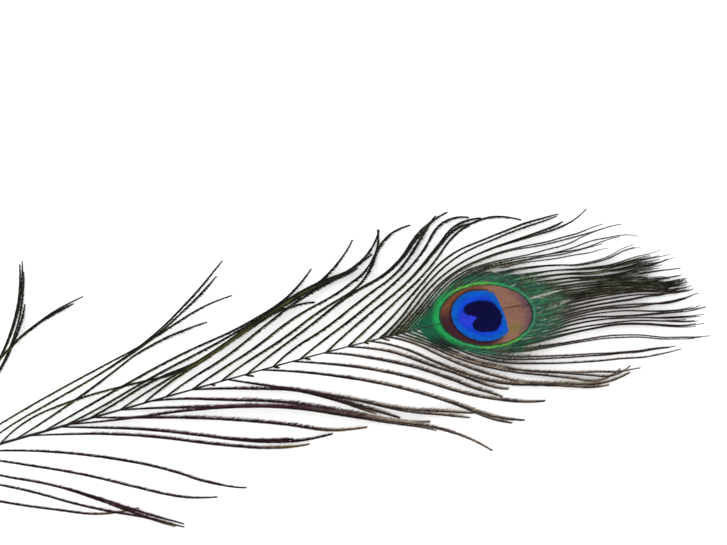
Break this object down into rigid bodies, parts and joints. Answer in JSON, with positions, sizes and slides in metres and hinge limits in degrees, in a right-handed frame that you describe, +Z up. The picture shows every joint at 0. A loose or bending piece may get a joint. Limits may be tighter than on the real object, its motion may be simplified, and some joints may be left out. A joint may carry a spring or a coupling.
{
  "type": "peacock feather",
  "caption": "Peacock tail feather with a bare quill, loose wavy barbs and a blue and green eye near its tip, lying flat with its coloured face up.",
  "frame": {"origin": "middle of the feather's outline, on the surface that it lies on", "axes": "+X from the quill to the tip, +Y to the feather's left side, +Z up, away from the surface"},
  "size_m": [0.3981, 0.1251, 0.0094],
  "materials": {
    "barbs": "satin"
  },
  "bodies": {
    "root": {"feather": "barbs"}
  },
  "joints": []
}
